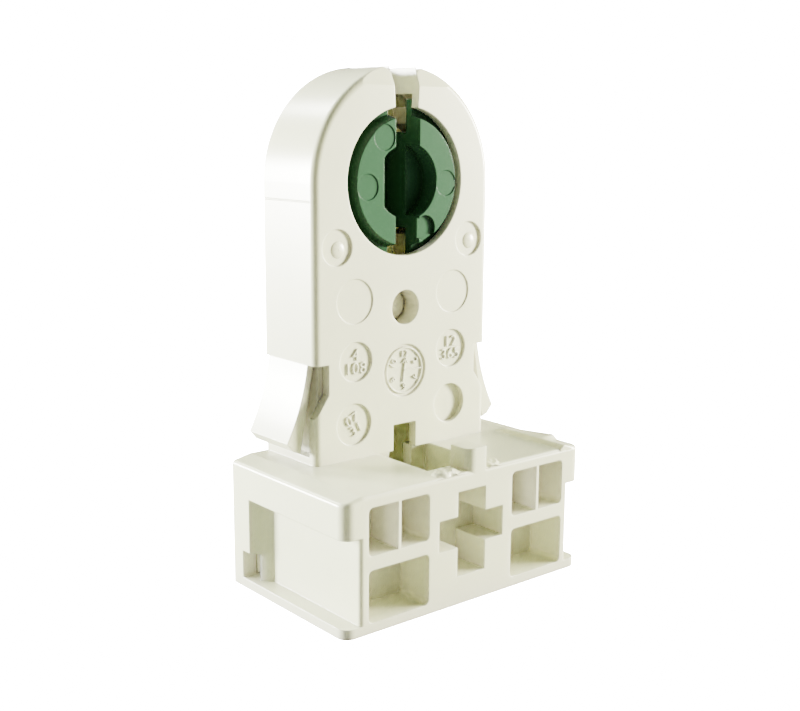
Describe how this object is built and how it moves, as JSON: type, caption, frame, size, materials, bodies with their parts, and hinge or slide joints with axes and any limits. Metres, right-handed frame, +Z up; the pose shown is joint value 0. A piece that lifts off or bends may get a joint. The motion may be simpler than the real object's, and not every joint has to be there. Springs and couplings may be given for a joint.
{
  "type": "fluorescent tube lamp holder",
  "caption": "Upright push-through holder for the bi-pin end of a fluorescent tube: base block, rounded body with snap wings, and a quarter-turn rotor.",
  "frame": {"origin": "middle of the underside of the base block", "axes": "+Z up along the upright body, -Y towards the lamp tube, +X to the right as seen from the tube"},
  "size_m": [0.0364, 0.022, 0.0609],
  "materials": {
    "ivory_plastic": "satin moulded",
    "green_plastic": "satin moulded",
    "contact_bronze": "stamped strip",
    "spring_steel": "stamped strip"
  },
  "bodies": {
    "holder": {"housing": "ivory_plastic", "rear_cover": "ivory_plastic", "contact_left": "contact_bronze", "contact_right": "contact_bronze", "clamp_spring_left_outer": "spring_steel", "clamp_spring_left_inner": "spring_steel", "clamp_spring_right_outer": "spring_steel", "clamp_spring_right_inner": "spring_steel"},
    "rotor": {"rotor": "green_plastic"}
  },
  "joints": [
    {"name": "rotor_turn", "type": "hinge", "parent": "holder", "child": "rotor", "pos_m": [0, 0.0052, 0.0477], "axis": [0, 1, 0], "range_deg": [-90, 90]}
  ]
}
